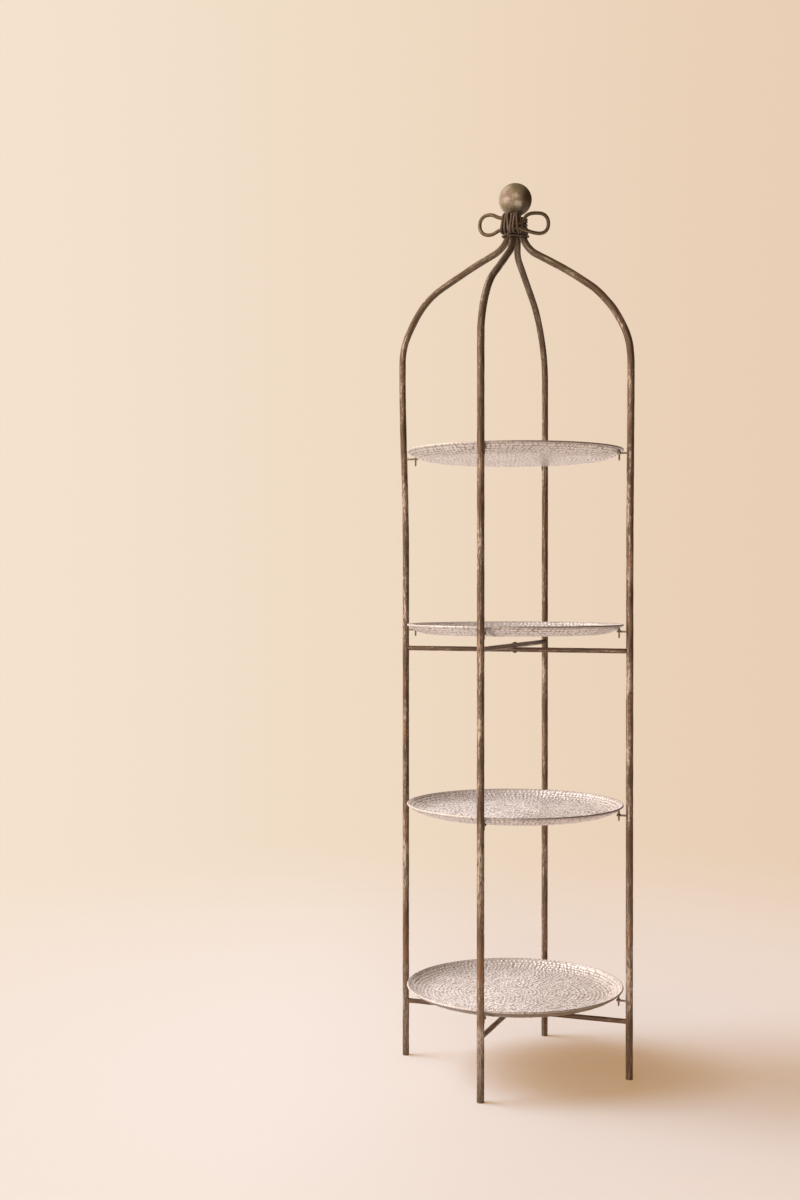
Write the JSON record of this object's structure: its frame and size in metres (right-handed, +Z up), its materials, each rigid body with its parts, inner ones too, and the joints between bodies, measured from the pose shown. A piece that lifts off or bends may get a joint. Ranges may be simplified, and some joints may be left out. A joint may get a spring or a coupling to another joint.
{
  "type": "tiered shelf",
  "caption": "Tall free-standing etagere of bent iron rods tied with a wire bow under a ball finial, carrying round hammered dish trays that lift off their pins.",
  "frame": {"origin": "on the floor, midway between the four feet", "axes": "+Z up, -Y towards the front leg and the bow, +X towards the right leg"},
  "size_m": [0.396, 0.396, 1.4618],
  "materials": {
    "aged_iron": "mottled brown-grey, rubbed",
    "neck_wire": "dark, satin",
    "finial_patina": "patchy olive-bronze patina",
    "hammered_tray": "hammered, soft silver"
  },
  "bodies": {
    "frame": {"leg_right": "aged_iron", "leg_back": "aged_iron", "leg_left": "aged_iron", "leg_front": "aged_iron", "middle_brace_across": "aged_iron", "middle_brace_through": "aged_iron", "middle_brace_rivet": "aged_iron", "base_brace_across": "aged_iron", "base_brace_through": "aged_iron", "base_brace_rivet": "aged_iron", "finial_post": "aged_iron", "finial_ball": "finial_patina", "neck_binding": "neck_wire", "bow_knot": "neck_wire", "bow_loop_left": "neck_wire", "bow_loop_right": "neck_wire", "eye_bottom_right": "aged_iron", "eye_bottom_back": "aged_iron", "eye_bottom_left": "aged_iron", "eye_bottom_front": "aged_iron", "eye_lower_right": "aged_iron", "eye_lower_back": "aged_iron", "eye_lower_left": "aged_iron", "eye_lower_front": "aged_iron", "eye_upper_right": "aged_iron", "eye_upper_back": "aged_iron", "eye_upper_left": "aged_iron", "eye_upper_front": "aged_iron", "eye_top_right": "aged_iron", "eye_top_back": "aged_iron", "eye_top_left": "aged_iron", "eye_top_front": "aged_iron"},
    "bottom_tray": {"tray_bottom": "hammered_tray", "tray_pins_bottom": "aged_iron"},
    "lower_tray": {"tray_lower": "hammered_tray", "tray_pins_lower": "aged_iron"},
    "upper_tray": {"tray_upper": "hammered_tray", "tray_pins_upper": "aged_iron"},
    "top_tray": {"tray_top": "hammered_tray", "tray_pins_top": "aged_iron"}
  },
  "joints": [
    {"name": "bottom_tray_lift", "type": "slide", "parent": "frame", "child": "bottom_tray", "axis": [0, 0, 1], "range_m": [0, 0.05]},
    {"name": "lower_tray_lift", "type": "slide", "parent": "frame", "child": "lower_tray", "axis": [0, 0, 1], "range_m": [0, 0.05]},
    {"name": "upper_tray_lift", "type": "slide", "parent": "frame", "child": "upper_tray", "axis": [0, 0, 1], "range_m": [0, 0.05]},
    {"name": "top_tray_lift", "type": "slide", "parent": "frame", "child": "top_tray", "axis": [0, 0, 1], "range_m": [0, 0.05]}
  ]
}
